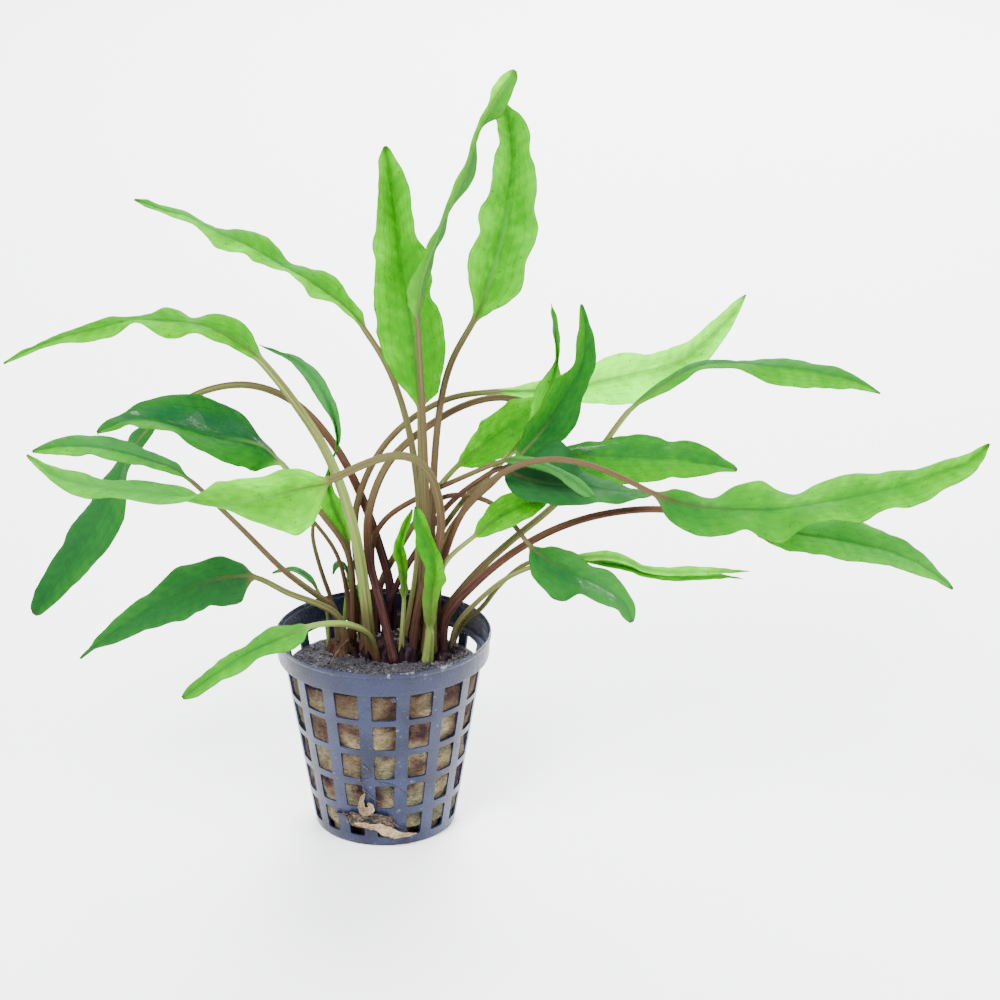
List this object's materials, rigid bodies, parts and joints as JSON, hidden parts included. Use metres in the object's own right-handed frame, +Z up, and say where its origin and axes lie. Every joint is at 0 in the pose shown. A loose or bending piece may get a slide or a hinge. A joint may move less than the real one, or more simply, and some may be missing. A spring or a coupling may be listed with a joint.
{
  "type": "potted aquarium plant",
  "caption": "Bushy rosette of long-stalked, lance-shaped wavy leaves growing from a plug of mineral wool in a small round net pot.",
  "frame": {"origin": "middle of the net pot's underside, on the surface it stands on", "axes": "+Z up along the pot's axis; the plant is seen from the front along +Y, with +X to the viewer's right"},
  "size_m": [0.236, 0.0842, 0.199],
  "materials": {
    "pot_black": "satin blue-black moulded plastic",
    "rockwool": "matted tan mineral wool",
    "soil": "damp dark grit",
    "crown": "dull purple-brown plant tissue",
    "leaf_green": "waxy green leaf",
    "withered_leaf": "dull brown withered leaf"
  },
  "bodies": {
    "root": {"net_pot": "pot_black", "rockwool_plug": "rockwool", "soil": "soil", "crown_main": "crown", "crown_left": "crown", "crown_right": "crown", "dead_leaf": "withered_leaf", "leaf_top_broad": "leaf_green", "leaf_top_twisted": "leaf_green", "leaf_top_right": "leaf_green", "leaf_left_high": "leaf_green", "leaf_left_long": "leaf_green", "leaf_left_hanging": "leaf_green", "leaf_left_drooping": "leaf_green", "leaf_left_glossy": "leaf_green", "leaf_left_turned": "leaf_green", "leaf_left_slim": "leaf_green", "leaf_left_low": "leaf_green", "leaf_front_left": "leaf_green", "leaf_right_pale": "leaf_green", "leaf_right_wet": "leaf_green", "leaf_right_bright": "leaf_green", "leaf_right_upright": "leaf_green", "leaf_right_pointed": "leaf_green", "leaf_right_wavy": "leaf_green", "leaf_right_far": "leaf_green", "leaf_right_low": "leaf_green", "leaf_right_dark": "leaf_green", "leaf_right_curled": "leaf_green", "leaf_right_under": "leaf_green", "leaf_right_front": "leaf_green", "leaf_right_folded": "leaf_green", "leaf_right_narrow": "leaf_green", "young_leaf_front": "leaf_green", "young_leaf_middle": "leaf_green", "young_leaf_hidden_high": "leaf_green", "young_leaf_hidden_low": "leaf_green", "young_leaf_left_bluish": "leaf_green", "young_leaf_left_curled": "leaf_green", "young_leaf_left_bright": "leaf_green"}
  },
  "joints": []
}
